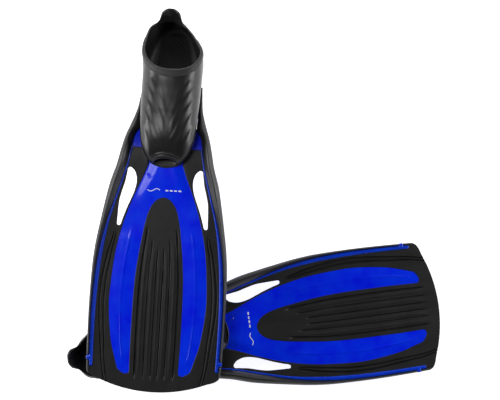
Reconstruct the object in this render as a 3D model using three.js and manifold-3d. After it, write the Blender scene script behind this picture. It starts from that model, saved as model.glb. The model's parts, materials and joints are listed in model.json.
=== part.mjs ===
// A pair of full-foot, open-toe swim fins, one lying across the other on the floor.
// Each fin is built in its own frame, in millimetres: s runs from the toe line towards the blade tip,
// t runs sideways (left is positive, seen from the heel) and h runs up from the middle of the blade.
import * as THREE from "three";
import { mergeVertices } from "three/addons/utils/BufferGeometryUtils.js";
import Module from "manifold-3d";

const wasm = await Module();
wasm.setup();

// Driving dimensions.
const GAP = 0.3; // clearance between neighbouring pieces
const BLADE_LENGTH = 367;
const BLADE_HALF_THICKNESS = 1.8;
const TIP_RADIUS = 229; // the tip edge, seen from above
const TOE_CUT = 0.4; // where the blade pieces start, in front of the toe line
const SOLE_ANGLE = THREE.MathUtils.degToRad(28); // how far the sole drops away from the blade plane
const BEND_LENGTH = 70; // the stretch behind the toe line over which it drops
const BEND_RADIUS = BEND_LENGTH / SOLE_ANGLE;

const SOLE_BOTTOM = -9;
const POCKET_FLOOR = 2.4; // underside of the rubber pocket
const POCKET_WALL = 3.3;
const HEEL_END = -260;
const SOLE_BACK = -253;
const SOLE_FRONT = -30;
const TOE_END = -2;
const COLLAR_FRONT = { u: -131, v: 66 }; // the ankle opening lies in a plane between these two points
const COLLAR_BACK = { u: -250, v: 36 };
const COLLAR_WIDTH = 5.5; // measured square to that plane
const LEAN_HEIGHT = 36;
const SHOE_STATIONS = 20;
const SHOE_AROUND = 20;

const RAIL_START = -145;
const RAIL_END = 333.7;
const TONGUE_START = 54;
const LOBE_SIDE_END = 334; // from here the lobe closes round
const PLATE_LOBE_END = 337;
const CHANNEL_START = 108;
const CHANNEL_END = 345;
const CHANNEL_HALF_THICKNESS = 1.2;
const BATTEN_START = 10;
const BATTEN_END = 330;
const BATTEN_TOP = 4.2;
const PEG_CENTRE = 316;
const PEG_HALF_LENGTH = 4;
const WING_BACK = -27.2;

const TAB_BASE = { u: -249.6, v: 37.6 };
const TAB_TIP = { u: -250.8, v: 70 };
const TAB_HALF_WIDTH = 16.5;
const TAB_THICKNESS = 3;

// Where each fin lies: the toe point, and how the fin is turned there (roll, pitch, yaw, in degrees).
const TOP_FIN = { at: [-135.9, 56.3, 111.7], roll: 0, pitch: -0.72, yaw: -93.4 };
const UNDER_FIN = { at: [-40.3, -217.5, 71.2], roll: -6, pitch: 9.72, yaw: 6.6 };

// A smooth value along the fin, given at a few stations.
function along(stations, values) {
  const spline = new THREE.CubicInterpolant(stations, values, 1);
  return (s) => spline.evaluate(s)[0];
}

// Plan outlines: half-widths from the fin's centre line.
const railOuter = along(
  [-145, -118, -97, -81, -65, -50, -40, -16, 0, 32, 65, 97, 130, 162, 194, 235, 300, 334],
  [49.5, 51.3, 53.5, 57, 61.3, 66, 69, 74.5, 78, 87.5, 94.3, 100, 105.3, 108.5, 109.7, 110.3, 109.3, 108.2],
);
const railWidth = along(
  [-145, -97, -80, -68, -60, -50, -30, 0, 30, 97, 146, 211, 334],
  [4, 8, 11.5, 15.2, 16.8, 11.5, 15, 15.5, 16, 10, 7.5, 5, 4],
);
const railInner = (s) => railOuter(s) - railWidth(s);
const lobeOuter = along(
  [0, 16, 49, 81, 113, 146, 194, 227, 259, 292, 308, 318, 328, 334],
  [27.2, 32.9, 46.5, 57.8, 66.4, 72.4, 76.8, 77.8, 75, 70, 65.5, 62.3, 56.5, 51.5],
);
const tongueEdge = along(
  [TONGUE_START, 57, 61.6, 73.8, 92.4, 120.7, 178, 275, 341],
  [7.5, 12.5, 17, 22.9, 27.8, 32.5, 39, 41, 40],
);
const battenWidth = along([10, 97, 146, 330], [2.2, 3.6, 5.8, 6]);
const channelCentre = along([108, 150, 200, 240, 290, 345], [75, 83, 90, 90.5, 86, 80.5]);
const channelHalfWidth = along([108, 125, 345], [1.6, 4, 4]);

// Heights of the side rails above and below the blade's middle.
const railTop = along(
  [-145, -118, -97, -80, -40, 0, 60, 130, 200, 334],
  [0.5, 2, 4.5, 7, 13, 16, 14.5, 11, 8, 4.5],
);
const railBottom = along([-145, -118, -60, 0, 130, 334], [-5, -6.5, -8, -11, -8, -4]);

// The foot pocket: half-width and height of its outside, from the heel to the toe.
const pocketWidth = along(
  [-260, -256, -252, -246, -234, -219, -200, -182, -150, -110, -85, -60, -40, -25, -14, -6, -2],
  [9, 13, 17, 23.5, 32, 38.7, 45, 49.3, 48.8, 48, 47, 45.5, 43.8, 40, 34.5, 27, 22],
);
const pocketHeight = along(
  [-260, -258, -255, -251, -244, -232, -217, -185, -150, -131, -100, -60, -20, -2],
  [12, 22, 32, 43, 58, 78, 92, 100, 78, 66, 56, 44, 30, 22],
);
// The soft heel leans to the right, fully from LEAN_HEIGHT on and less below it.
const heelLean = along([-260, -250, -235, -219, -200, -182, -150], [-9, -10, -11.5, -8.6, -5, -2, 0]);
const platePlan = along([-225, -215, -190, -120, -70, -57], [15, 22, 30, 36, 40, 41.5]);

// The stretch behind the toe line bends down: u runs along the sole and v stands square to it.
function bend(u, t, v) {
  if (u >= 0) return new THREE.Vector3(u, t, v);
  const angle = Math.min(-u / BEND_RADIUS, SOLE_ANGLE);
  const past = Math.min(u + BEND_LENGTH, 0);
  const radius = BEND_RADIUS + v;
  const s = past * Math.cos(angle) - radius * Math.sin(angle);
  const h = past * Math.sin(angle) + radius * Math.cos(angle) - BEND_RADIUS;
  const lean = heelLean(u) * THREE.MathUtils.clamp(v / LEAN_HEIGHT, 0, 1) ** 2;
  return new THREE.Vector3(s, t + lean, h);
}

// A box whose corners are moved by a formula of its three fractions: along, across and up.
function shapedBox(countAlong, countAcross, place) {
  const geometry = new THREE.BoxGeometry(1, 1, 1, countAlong, countAcross, 1);
  const points = geometry.getAttribute("position");
  for (let i = 0; i < points.count; i++) {
    const x = points.getX(i) + 0.5;
    const y = points.getY(i) + 0.5;
    const z = points.getZ(i) + 0.5;
    points.setXYZ(i, ...place(x, y, z).toArray());
  }
  return geometry;
}

const mix = THREE.MathUtils.lerp;

// A strip between two edges and two faces, which may all change along its length.
function strip(from, to, count, inner, outer, bottom, top) {
  return shapedBox(count, 1, (x, y, z) => {
    const u = mix(from, to, x);
    return bend(u, mix(inner(u), outer(u), y), mix(bottom(u), top(u), z));
  });
}

// A flat plate of a given outline, centred on the blade's middle plane.
function plate(outline, holes = []) {
  const shape = new THREE.Shape(outline);
  shape.holes = holes.map((hole) => new THREE.Path(hole));
  const depth = 2 * BLADE_HALF_THICKNESS;
  const geometry = new THREE.ExtrudeGeometry(shape, { depth, bevelEnabled: false });
  return geometry.translate(0, 0, -BLADE_HALF_THICKNESS);
}

function toSolid(geometry) {
  const bare = geometry.clone();
  bare.deleteAttribute("normal");
  bare.deleteAttribute("uv");
  const merged = mergeVertices(bare, 1e-4);
  return new wasm.Manifold(
    new wasm.Mesh({
      numProp: 3,
      vertProperties: new Float32Array(merged.attributes.position.array),
      triVerts: new Uint32Array(merged.index.array),
    }),
  );
}

function toGeometry(solid) {
  const mesh = solid.getMesh();
  const geometry = new THREE.BufferGeometry();
  geometry.setAttribute("position", new THREE.BufferAttribute(new Float32Array(mesh.vertProperties), 3));
  geometry.setIndex(new THREE.BufferAttribute(new Uint32Array(mesh.triVerts), 1));
  geometry.computeVertexNormals();
  return geometry;
}

const range = (from, to, count) => Array.from({ length: count + 1 }, (_, i) => mix(from, to, i / count));
const point = (s, t) => new THREE.Vector2(s, t);
const mirrored = (points) => points.map((p) => point(p.x, -p.y)).reverse();

// One side of the blue plate's outline, from the neck's back corner round the lobe to the tongue's apex.
function lobeSide(clearance) {
  const outer = range(TOE_CUT, LOBE_SIDE_END, 21).map((s) => point(s, lobeOuter(s) + clearance));
  const end = point(PLATE_LOBE_END + clearance, 45);
  const inner = range(LOBE_SIDE_END, TONGUE_START, 18).map((s) => point(s, tongueEdge(s) - clearance));
  return [...outer, end, ...inner];
}

function bladePlate() {
  const side = lobeSide(0);
  return plate([...mirrored(side), ...side].reverse());
}

// The teardrop vent between the neck and the rail, wide end towards the foot.
function ventOutline() {
  const shape = new THREE.Path();
  shape.moveTo(6, 57);
  const rest = [
    [13, 49.5], [28, 45.5], [44, 48.2], [72, 58.8], [97, 66.8],
    [101, 70.5], [96, 73.2], [60, 71.5], [28, 63.5], [11, 60], [6, 57],
  ];
  shape.splineThru(rest.map(([s, t]) => point(s, t)));
  return shape.getPoints(3).slice(0, -1);
}

function channelOutline() {
  const stations = range(CHANNEL_START, CHANNEL_END, 14);
  const outer = stations.map((s) => point(s, channelCentre(s) + channelHalfWidth(s)));
  const inner = stations.map((s) => point(s, channelCentre(s) - channelHalfWidth(s))).reverse();
  return [...outer, ...inner];
}

// One side of the web's outline, from the middle of the tip round the corner and back to the toe line.
function webSide() {
  const centre = BLADE_LENGTH - TIP_RADIUS;
  const tip = range(0, 88, 8).map((t) => point(centre + Math.sqrt(TIP_RADIUS ** 2 - t ** 2), t));
  const corner = new THREE.QuadraticBezierCurve(
    tip[tip.length - 1],
    point(345, 108),
    point(RAIL_END + GAP, railOuter(RAIL_END)),
  );
  const edge = range(RAIL_END + GAP, TOE_CUT, 22).map((s) => point(s, railInner(s) - GAP));
  return [...tip, ...corner.getPoints(6).slice(1), ...edge];
}

function bladeWeb() {
  const side = [...webSide(), ...lobeSide(GAP)];
  const outline = [...side, ...mirrored(side).slice(0, -1)];
  const vent = ventOutline();
  const channel = channelOutline();
  return plate(outline, [vent, mirrored(vent), channel, mirrored(channel)]);
}

function flexChannel() {
  const edge = (sign) => (s) => channelCentre(s) + sign * (channelHalfWidth(s) - GAP);
  const low = () => -CHANNEL_HALF_THICKNESS;
  const high = () => CHANNEL_HALF_THICKNESS;
  return strip(CHANNEL_START + GAP, CHANNEL_END - GAP, 14, edge(-1), edge(1), low, high);
}

function pegBox(clearance, bottom, top) {
  const half = PEG_HALF_LENGTH + clearance;
  const box = new THREE.BoxGeometry(2 * half, 14, top - bottom);
  return toSolid(box.translate(PEG_CENTRE, railOuter(PEG_CENTRE) - 6.4, (bottom + top) / 2));
}

// The blue strip along the inside of the rail, with the peg that shows through the rail's edge.
function batten() {
  const bottom = BLADE_HALF_THICKNESS + GAP;
  const outer = (s) => railInner(s) - GAP;
  const inner = (s) => outer(s) - battenWidth(s);
  const body = strip(BATTEN_START, BATTEN_END, 20, inner, outer, () => bottom, () => BATTEN_TOP);
  return toGeometry(toSolid(body).add(pegBox(0, bottom, BATTEN_TOP)));
}

// A rail has an outer flank, a ridge and an inner flank that drops to the blade.
function railGeometry(from, to, count) {
  const ridge = [0.35, 1, 0.62];
  return shapedBox(count, 2, (x, y, z) => {
    const u = mix(from, to, x);
    const column = Math.round(2 * y);
    const t = mix(railInner(u), railOuter(u), [0, 0.55, 1][column]);
    const top = Math.max(railTop(u) * ridge[column], 0.5);
    return bend(u, t, z > 0.5 ? top : railBottom(u) * (column === 1 ? 1 : 0.8));
  });
}

function bladeRail() {
  const notch = pegBox(GAP, BLADE_HALF_THICKNESS, 20);
  return toGeometry(toSolid(railGeometry(TOE_CUT, RAIL_END, 24)).subtract(notch));
}

// The rubber shoe without its openings: sections with a flat bottom and a round top.
function shoe(grow, floor, heel, toe) {
  const geometry = new THREE.CylinderGeometry(1, 1, 1, SHOE_AROUND, SHOE_STATIONS);
  geometry.rotateZ(-Math.PI / 2);
  const points = geometry.getAttribute("position");
  for (let i = 0; i < points.count; i++) {
    const u = mix(heel, toe, 0.5 - 0.5 * Math.cos(Math.PI * (points.getX(i) + 0.5)));
    const radius = Math.hypot(points.getY(i), points.getZ(i));
    const angle = Math.atan2(points.getZ(i), points.getY(i));
    const high = pocketHeight(u) + grow;
    const middle = mix(floor, high, 0.35);
    const power = Math.sin(angle) > 0 ? 0.9 : 0.5;
    const across = Math.sign(Math.cos(angle)) * Math.abs(Math.cos(angle)) ** power;
    const up = Math.sign(Math.sin(angle)) * Math.abs(Math.sin(angle)) ** power;
    const rise = up > 0 ? high - middle : middle - floor;
    const place = bend(u, radius * across * (pocketWidth(u) + grow), middle + radius * up * rise);
    points.setXYZ(i, ...place.toArray());
  }
  return toSolid(geometry);
}

// Everything from `below` under the plane of the ankle opening up to `above` over it.
function collarSlab(below, above, from, to) {
  const slope = (COLLAR_FRONT.v - COLLAR_BACK.v) / (COLLAR_FRONT.u - COLLAR_BACK.u);
  const planeAt = (u) => COLLAR_FRONT.v + slope * (u - COLLAR_FRONT.u);
  const left = () => -80;
  const right = () => 80;
  return toSolid(strip(from, to, 1, left, right, (u) => planeAt(u) - below, (u) => planeAt(u) + above));
}

function footPocket() {
  const outside = shoe(0, POCKET_FLOOR, HEEL_END, TOE_END);
  const cavity = shoe(-POCKET_WALL, POCKET_FLOOR + 3, HEEL_END + POCKET_WALL, 8);
  return toGeometry(outside.subtract(cavity).subtract(collarSlab(0, 90, -300, -90)));
}

// The matte band round the front of the ankle opening.
function collarBand() {
  const outside = shoe(1.7, POCKET_FLOOR, HEEL_END, TOE_END);
  const core = shoe(GAP, POCKET_FLOOR, HEEL_END, TOE_END);
  return toGeometry(outside.subtract(core).intersect(collarSlab(COLLAR_WIDTH, 0, -196, -100)));
}

// The pull tab on the heel's rim, narrower and rounded at its top.
function heelTab() {
  return shapedBox(8, 6, (x, y, z) => {
    const width = TAB_HALF_WIDTH * (1 - 0.12 * x) * Math.sqrt(1 - 0.92 * x ** 4);
    const lift = TAB_THICKNESS * (z - 0.5);
    const u = mix(TAB_BASE.u, TAB_TIP.u, x ** 1.3) + lift;
    return bend(u, (1 - 2 * y) * width, mix(TAB_BASE.v, TAB_TIP.v, x));
  });
}

// The blue plate's root under the foot, which shows as a gusset on each side of the toe box.
function solePlate() {
  const flare = [
    [-57, 41.5], [-53, 47.5], [-49, 53], [-28.5, railInner(-28.5) - 0.6], [-27.7, 27], [-0.1, 27],
  ];
  const back = range(-225, -65, 10).map((u) => [u, platePlan(u)]);
  const front = flare.flatMap(([u, half], i) => {
    const before = flare[i - 1];
    if (!before || u - before[0] < 12) return [[u, half]];
    return range(0, 1, 3).slice(1).map((k) => [mix(before[0], u, k), mix(before[1], half, k)]);
  });
  const stations = [...back, ...front];
  return shapedBox(stations.length - 1, 1, (x, y, z) => {
    const [u, half] = stations[Math.round(x * (stations.length - 1))];
    return bend(u, (2 * y - 1) * half, (2 * z - 1) * BLADE_HALF_THICKNESS);
  });
}

// The black web beside the toe box, between the neck and the rail.
function wing() {
  const low = () => -BLADE_HALF_THICKNESS;
  const high = () => BLADE_HALF_THICKNESS;
  return strip(WING_BACK, -0.1, 4, () => 27 + GAP, (u) => railInner(u) - GAP, low, high);
}

// The rubber sole, with grip ribs across it.
function outsole() {
  const half = (u) => pocketWidth(u) - 4.5;
  const bottom = along([SOLE_BACK, -70, SOLE_FRONT], [SOLE_BOTTOM + 2, SOLE_BOTTOM + 2, -4.5]);
  const top = () => -BLADE_HALF_THICKNESS - GAP;
  const slab = shapedBox(30, 2, (x, y, z) => {
    const u = mix(SOLE_BACK, SOLE_FRONT, x);
    return bend(u, (2 * y - 1) * half(u), mix(bottom(u), top(), z));
  });
  let sole = toSolid(slab);
  for (const u of range(-243, -84, 13)) {
    const width = (v) => (2 * v - 1) * (half(u) - 3);
    const rib = shapedBox(1, 1, (x, y, z) => bend(u + (x - 0.5) * 7, width(y), SOLE_BOTTOM + 3.5 * z));
    sole = sole.add(toSolid(rib));
  }
  return toGeometry(sole);
}

const BLUE = { color: 0x0a2bdc, roughness: 0.3, metalness: 0 };
const GLOSSY_BLACK = { color: 0x0c0c0e, roughness: 0.22, metalness: 0 };
const MATTE_BLACK = { color: 0x262626, roughness: 0.6, metalness: 0 };
const COLLAR_GREY = { color: 0x333335, roughness: 0.7, metalness: 0 };

// One whole fin. Right-hand pieces are the left-hand ones mirrored across the centre line.
function fin(name, place) {
  const group = new THREE.Group();
  const addMesh = (part, geometry, look, side = 1) => {
    const mesh = new THREE.Mesh(geometry, new THREE.MeshStandardMaterial(look));
    mesh.name = `${name}_${part}`;
    mesh.scale.y = side;
    group.add(mesh);
  };
  addMesh("foot_pocket", footPocket(), GLOSSY_BLACK);
  addMesh("collar_band", collarBand(), COLLAR_GREY);
  addMesh("heel_tab", heelTab(), MATTE_BLACK);
  addMesh("outsole", outsole(), MATTE_BLACK);
  addMesh("sole_plate", solePlate(), BLUE);
  addMesh("blade_plate", bladePlate(), BLUE);
  addMesh("blade_web", bladeWeb(), MATTE_BLACK);
  for (const [hand, side] of [["left", 1], ["right", -1]]) {
    addMesh(`wing_${hand}`, wing(), MATTE_BLACK, side);
    addMesh(`rail_root_${hand}`, railGeometry(RAIL_START, -0.1, 16), MATTE_BLACK, side);
    addMesh(`rail_${hand}`, bladeRail(), MATTE_BLACK, side);
    addMesh(`batten_${hand}`, batten(), BLUE, side);
    addMesh(`flex_channel_${hand}`, flexChannel(), MATTE_BLACK, side);
  }
  const turn = [place.roll, place.pitch, place.yaw].map(THREE.MathUtils.degToRad);
  group.rotation.set(...turn, "ZYX");
  group.position.set(...place.at);
  return group;
}

// The pair stands on z = 0, with the origin under the middle of its box.
const pair = new THREE.Group();
pair.add(fin("top_fin", TOP_FIN), fin("under_fin", UNDER_FIN));
const box = new THREE.Box3().setFromObject(pair, true);
const middle = box.getCenter(new THREE.Vector3());
pair.position.set(-middle.x, -middle.y, -box.min.z);

const root = new THREE.Group();
root.add(pair);
export default root;
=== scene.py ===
"""A pair of full-foot, open-toe swim fins, one lying across the other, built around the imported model.

Each fin is drawn in its own frame, in millimetres: s runs from the toe line to the blade tip, t runs
sideways (left is positive, seen from the heel) and h runs up from the middle of the blade. Behind the toe
line the sole bends down, and u, t, v are the same three directions measured along the sole. A fin's frame
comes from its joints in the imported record, and everything is placed in metres.
"""

import json
import math

import bmesh
import bpy
import numpy as np
from mathutils import Matrix, Vector
from mathutils.bvhtree import BVHTree


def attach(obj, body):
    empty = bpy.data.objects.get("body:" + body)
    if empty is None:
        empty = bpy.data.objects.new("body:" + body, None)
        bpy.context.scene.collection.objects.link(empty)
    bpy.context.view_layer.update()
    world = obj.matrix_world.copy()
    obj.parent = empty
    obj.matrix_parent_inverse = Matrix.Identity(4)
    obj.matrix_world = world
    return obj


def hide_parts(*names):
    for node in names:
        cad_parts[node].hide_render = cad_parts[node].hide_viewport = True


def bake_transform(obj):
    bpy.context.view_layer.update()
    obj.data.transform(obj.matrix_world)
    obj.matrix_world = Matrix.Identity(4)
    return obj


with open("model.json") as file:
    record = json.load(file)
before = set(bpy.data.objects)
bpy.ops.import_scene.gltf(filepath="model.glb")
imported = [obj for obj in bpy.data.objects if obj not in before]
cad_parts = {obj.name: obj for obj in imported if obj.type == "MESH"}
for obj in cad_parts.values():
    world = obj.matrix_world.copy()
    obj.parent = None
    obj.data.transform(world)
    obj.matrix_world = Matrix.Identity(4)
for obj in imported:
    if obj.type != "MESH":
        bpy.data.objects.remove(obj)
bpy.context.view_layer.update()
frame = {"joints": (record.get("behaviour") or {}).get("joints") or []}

# ------------------------------------------------------------------ driving dimensions, in millimetres
MM = 0.001  # metres in a millimetre
BLADE_LENGTH = 367
HALF_THICKNESS = 1.8  # of the blue plate
RUBBER_RISE = 0.5  # how far the rubber stands over the blue plate
TIP_RADIUS = 229
TIP_START = 325  # from here the stations follow the curved tip
CORNER = (88, 349.4), (108, 345), (108.2, 333.7)  # the tip's rounded corner, as (t, s)
RAIL_START, RAIL_SIDE_END, RAIL_END = -145, 334, 342.3
BATTEN_START, BATTEN_END, BATTEN_TOP = -28.5, 330, 4.6
PEG_CENTRE, PEG_HALF_LENGTH = 316, 3.6
WING_BACK, GUSSET_FRONT = -27.5, -25.5  # the blue plate's gussets run on a little under the wings
PLATE_BACK, GUSSET_BACK, GUSSET_WIDE = -225, -68, -62
PLATE_UNDER_RUBBER = 1.0  # how far the blue plate runs on under the rubber
PLATE_UNDER_RAIL = 1
WEB_UNDER_RAIL = 0.6
PLEAT_UNDER_FRAME = 0.3
NECK_RISE = 3.0  # of the neck's crown over the flat plate
NECK_FACET = 0.5, 17  # where the facet along the neck's edge starts and ends, measured from the edge
NECK_HALF_WIDTH = 27.2  # at the toe line
APEX, LOBE_END = 52.3, 341
CHANNEL_START = 108
VENT_START, VENT_END = 6, 101

SOLE_ANGLE = math.radians(28)
BEND_LENGTH = 70
BEND_RADIUS = BEND_LENGTH / SOLE_ANGLE
POCKET_FLOOR, POCKET_WALL = 2.4, 3.3
HEEL_END, HEEL_ROUND, TOE_END = -261, 5, -2
CAVITY_BACK, CAVITY_FLOOR = -256.7, 5.4
SOLE_BACK, SOLE_FRONT = -253, -30
SOLE_TOP, SOLE_BOTTOM = -2.1, -9
LEAN_HEIGHT = 36

OPENING_FRONT, OPENING_BACK = (-131, 66), (-250, 36)  # u, v of the ankle opening's plane
COLLAR_WIDTH, COLLAR_PROUD = 5.5, 1.7
COLLAR_REACH, COLLAR_TAPER = math.radians(112), math.radians(50)  # turns from the opening's front
FOOTBED_BACK, FOOTBED_FRONT, FOOTBED_RISE = -247, -14, 1.1
LIP_BACK, LIP_FRONT, LIP_ARC, LIP_UNDERSIDE = -16, 5.2, 7.5, 3.9
PRINT_LINE, PRINT_OVER, PRINT_UNDER = 41, 0.12, 0.3
TAB_BASE, TAB_TIP, TAB_THICKNESS = (-249.6, 37.6), (-250.8, 70), 3
HINGE_HEIGHT = 16  # of the blade's bending axis over the blade's middle


# ------------------------------------------------------------------ curves
def along(stations, values):
    """A smooth value along the fin: a cubic through the values, whose slopes come from the neighbours."""
    x, y = np.array(stations, float), np.array(values, float)
    secant = np.diff(y) / np.diff(x)
    slope = np.concatenate([secant[:1], (secant[1:] + secant[:-1]) / 2, secant[-1:]])

    def value(at):
        at = np.clip(np.asarray(at, float), x[0], x[-1])
        i = np.clip(np.searchsorted(x, at, side="right") - 1, 0, len(x) - 2)
        step = x[i + 1] - x[i]
        p = (at - x[i]) / step
        start = (1 + 2 * p) * (1 - p) ** 2 * y[i] + p * (1 - p) ** 2 * step * slope[i]
        end = p**2 * (3 - 2 * p) * y[i + 1] - p**2 * (1 - p) * step * slope[i + 1]
        return start + end

    return value


def smooth(low, high, x):
    """0 before low, 1 after high, and smooth between them."""
    p = np.clip((np.asarray(x, float) - low) / (high - low), 0, 1)
    return p * p * (3 - 2 * p)


def hump(distance, half_width):
    """A rounded ridge, 1 at its middle and 0 from half_width on."""
    return np.clip(1 - (np.asarray(distance, float) / half_width) ** 2, 0, 1) ** 2


def rounded(x, start, start_round, end, end_round):
    """1 inside a range whose two ends close like a circle, and 0 outside it."""
    head = np.clip((start + start_round - x) / start_round, 0, 1)
    tail = np.clip((x - end + end_round) / end_round, 0, 1)
    return np.sqrt(np.maximum(1 - head**2, 0)) * np.sqrt(np.maximum(1 - tail**2, 0))


rail_outer_side = along(
    [-145, -118, -97, -81, -65, -50, -40, -16, 0, 32, 65, 97, 130, 162, 194, 235, 300, 334],
    [49.5, 51.3, 53.5, 57, 61.3, 66, 69, 74.5, 78, 87.5, 94.3, 100, 105.3, 108.5, 109.7, 110.3, 109.3, 108.2],
)
rail_width = along(
    [-145, -97, -80, -68, -60, -50, -30, 0, 30, 97, 146, 211, 334],
    [4, 8, 11.5, 15.2, 17, 14.3, 15, 15.5, 16, 10, 7.5, 5, 4],
)
rail_top = along(
    [-145, -118, -97, -80, -40, 0, 60, 130, 200, 334, 343],
    [0.5, 2, 4.5, 7, 13, 16, 14.5, 11, 8, 4.5, 2.2],
)
rail_bottom = along([-145, -118, -60, 0, 130, 334, 343], [5, 6.5, 8, 11, 8, 4, 1.5])
batten_width = along([-28, 10, 97, 146, 330], [1.8, 2.2, 3.5, 5.6, 5.2])
lobe_side = along(
    [0, 16, 49, 81, 113, 146, 194, 227, 259, 292, 308, 318, 328, 341, 347],
    [27.2, 32.9, 46.5, 57.8, 66.4, 72.4, 76.8, 77.8, 75, 70, 65.5, 62.6, 59.8, 57.5, 56.5],
)
tongue_side = along([57, 61.6, 73.8, 92.4, 120.7, 178, 275, 341], [12.5, 17, 22.9, 27.8, 32.5, 39, 41, 40])
vent_centre = along(
    [-28, 0, 6, 13, 28, 44, 60, 72, 97, 101, 150, 200, 240, 290, 324, 345, 367],
    [42, 54, 57, 55, 54.5, 58, 62.8, 65.6, 70, 70.5, 75.5, 80, 80.5, 75.8, 68, 58, 55],
)
vent_half = along([6, 13, 20, 28, 44, 60, 72, 97, 101], [5, 6.2, 8, 9, 9.8, 8.7, 6.8, 3.4, 3.2])
channel_centre = along(
    [-28, 0, 28, 60, 97, 108, 150, 200, 240, 290, 345, 367],
    [50, 59, 67, 75.5, 76.5, 75, 83, 90, 90.5, 86, 80.5, 77],
)
channel_half = along([108, 125, 367], [1.6, 4, 4])
pocket_width = along(
    [-260, -256, -252, -246, -234, -219, -200, -182, -150, -110, -85, -60, -40, -25, -14, -6, -2],
    [9, 13, 17, 23.5, 32, 38.7, 45, 49.3, 48.8, 48, 47, 45.5, 43.8, 40, 34.5, 27, 22],
)
pocket_height = along(
    [-260, -258, -255, -251, -244, -232, -217, -185, -150, -131, -100, -60, -20, -2],
    [12, 22, 32, 43, 58, 78, 92, 100, 78, 66, 56, 44, 30, 22],
)
# The soft heel leans to the right, fully from LEAN_HEIGHT on and less below it.
heel_lean = along([-260, -250, -235, -219, -200, -182, -150], [-9, -10, -11.5, -8.6, -5, -2, 0])
plate_half = along(
    [-225, -215, -190, -120, -70, -57, -53, -49, -28.5],
    [15, 22, 30, 36, 40, 41.5, 47.5, 53, 57],
)


def bend(u, t, v):
    """The fin's own coordinates of points that are measured along the sole."""
    u, t, v = (np.asarray(x, float) for x in np.broadcast_arrays(u, t, v))
    angle = np.clip(-u / BEND_RADIUS, 0, SOLE_ANGLE)
    past = np.minimum(u + BEND_LENGTH, 0)
    radius = BEND_RADIUS + v
    s = np.where(u < 0, past * np.cos(angle) - radius * np.sin(angle), u)
    h = np.where(u < 0, past * np.sin(angle) + radius * np.cos(angle) - BEND_RADIUS, v)
    lean = heel_lean(u) * np.clip(v / LEAN_HEIGHT, 0, 1) ** 2
    return np.stack([s, t + lean, h], axis=-1)


# ------------------------------------------------------------------ the blade's outlines, on its left half
def tip_edge(t):
    """How far forward the blade reaches at t: an arc, and a rounded corner beside the rail."""
    t = np.abs(t)
    arc = BLADE_LENGTH - TIP_RADIUS + np.sqrt(TIP_RADIUS**2 - np.minimum(t, CORNER[0][0]) ** 2)
    q = np.linspace(0, 1, 24)[:, None]
    first, middle, last = (np.array(p, float) for p in CORNER)
    curve = (1 - q) ** 2 * first + 2 * q * (1 - q) * middle + q**2 * last
    return np.where(t <= CORNER[0][0], arc, np.interp(t, curve[:, 0], curve[:, 1]))


def rail_outer(s):
    """The rail's outer edge, which follows the rounded corner at its end."""
    q = np.linspace(0, 1, 24)[:, None]
    first, middle, last = (np.array(p, float) for p in CORNER)
    curve = ((1 - q) ** 2 * first + 2 * q * (1 - q) * middle + q**2 * last)[::-1]
    return np.where(s <= RAIL_SIDE_END, rail_outer_side(s), np.interp(s, curve[:, 1], curve[:, 0]))


def rail_inner(s):
    side = rail_outer_side(np.minimum(s, RAIL_SIDE_END)) - rail_width(np.minimum(s, RAIL_SIDE_END))
    return np.minimum(side, rail_outer(np.minimum(s, RAIL_END)))


def tongue_edge(s):
    """Half the tongue's width, which starts at a rounded apex and is 0 before it."""
    start = 12.5 * np.sqrt(np.maximum(np.asarray(s, float) - APEX, 0) / (57 - APEX))
    return np.where(s < 57, start, tongue_side(s))


def lobe_inner(s):
    """The lobe's edge beside the tongue; the lobe closes round at its end."""
    width = lobe_side(s) - tongue_edge(s)
    return tongue_edge(s) + 0.4 * width * (1 - rounded(s, -99, 1, LOBE_END, 6))


def lobe_outer(s):
    """The blue plate's outer edge, which closes on the same line as the lobe's inner edge."""
    width = lobe_side(s) - lobe_inner(s)
    return np.where(s < APEX, lobe_side(s), lobe_inner(s) + width * rounded(s, -99, 1, LOBE_END, 11))


def vent_edge(sign):
    return lambda s: vent_centre(s) + sign * vent_half(s) * rounded(s, VENT_START, 8, VENT_END, 4)


def channel_edge(sign):
    return lambda s: channel_centre(s) + sign * channel_half(s) * rounded(s, CHANNEL_START, 4, 999, 1)


vent_inner, vent_outer = vent_edge(-1), vent_edge(1)
channel_inner, channel_outer = channel_edge(-1), channel_edge(1)


def follow_tip(s, t):
    """Moves the last stations so that they follow the curved tip."""
    share = np.maximum(s - TIP_START, 0) / (BLADE_LENGTH - TIP_START)
    return np.where(s > TIP_START, TIP_START + share * (tip_edge(t) - TIP_START), s)


def stations(start, end, step=4.0):
    """Places along the fin, closer together where an outline turns quickly."""
    steady = np.arange(math.ceil(start / step) * step, end, step)
    extra = [[start, end]]
    for low, high, fine in (  # from, to and step
        (WING_BACK, WING_BACK + 2, 0.5),
        (VENT_START, 15, 0.6),
        (APEX, APEX + 1, 0.15),
        (APEX + 1, 60, 0.8),
        (95, VENT_END, 0.4),
        (CHANNEL_START, 114, 0.6),
        (118, 146, 1.5),
        (TIP_START, 330, 1.5),
        (LOBE_END - 12, LOBE_END - 3, 0.8),
        (LOBE_END - 3, LOBE_END + 0.5, 0.25),
        (LOBE_END, BLADE_LENGTH, 1.5),
    ):
        extra.append(np.arange(low, high, fine))
        extra.append([high])
    every = np.concatenate([steady, *extra])
    every = np.unique(np.round(every[(every >= start) & (every <= end)], 3))
    return every


def ends_dense(count):
    """Fractions from 0 to 1 that crowd towards both ends."""
    return 0.5 - 0.5 * np.cos(np.linspace(0, np.pi, count))


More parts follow.
